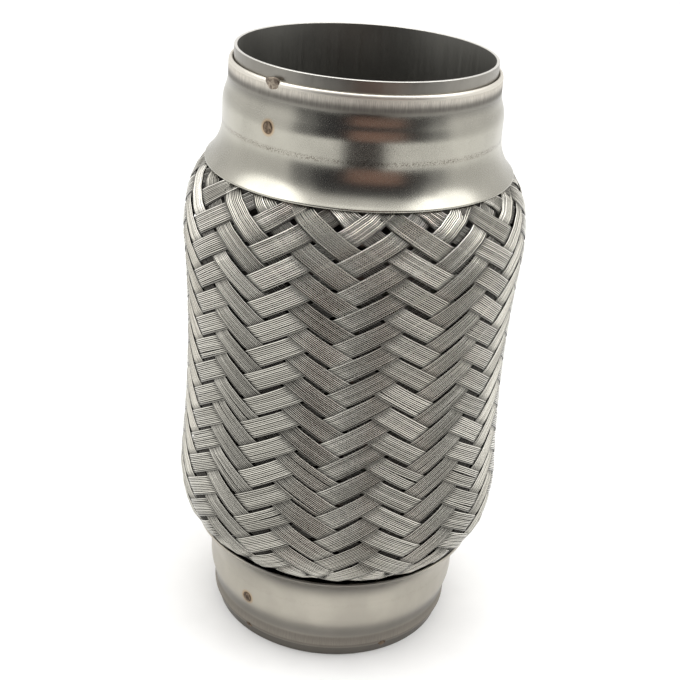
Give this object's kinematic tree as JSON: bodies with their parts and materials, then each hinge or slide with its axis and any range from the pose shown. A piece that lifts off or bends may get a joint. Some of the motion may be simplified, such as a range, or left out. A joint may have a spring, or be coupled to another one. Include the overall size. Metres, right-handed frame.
{
  "type": "exhaust flex pipe",
  "caption": "Flexible exhaust pipe: a metal bellows inside a woven wire braid, clamped at each end between a flared end cap and an inner ring that slips over a pipe.",
  "frame": {"origin": "centre of the lower ring's end face, on the floor that the pipe stands on", "axes": "+Z along the pipe's axis from the lower end to the upper end, -Y towards the viewer in the picture"},
  "size_m": [0.1246, 0.1246, 0.224],
  "materials": {
    "cap_steel": "drawn stainless sheet, half polished, with brushed bands and heat-tinted spot welds",
    "ring_steel": "satin stainless sheet",
    "bellows_steel": "bright thin stainless sheet",
    "braid_steel": "satin woven stainless wire"
  },
  "bodies": {
    "lower_end": {"lower_end_cap": "cap_steel", "lower_inner_ring": "ring_steel", "bellows": "bellows_steel", "outer_braid": "braid_steel"},
    "upper_end": {"upper_end_cap": "cap_steel", "upper_inner_ring": "ring_steel"}
  },
  "joints": [
    {"name": "pipe_bend", "type": "hinge", "parent": "lower_end", "child": "upper_end", "pos_m": [0, 0, 0.112], "axis": [0, 1, 0], "range_deg": [-8, 8], "stiffness_Nm_per_rad": 80, "deforming": ["bellows", "outer_braid"]}
  ]
}
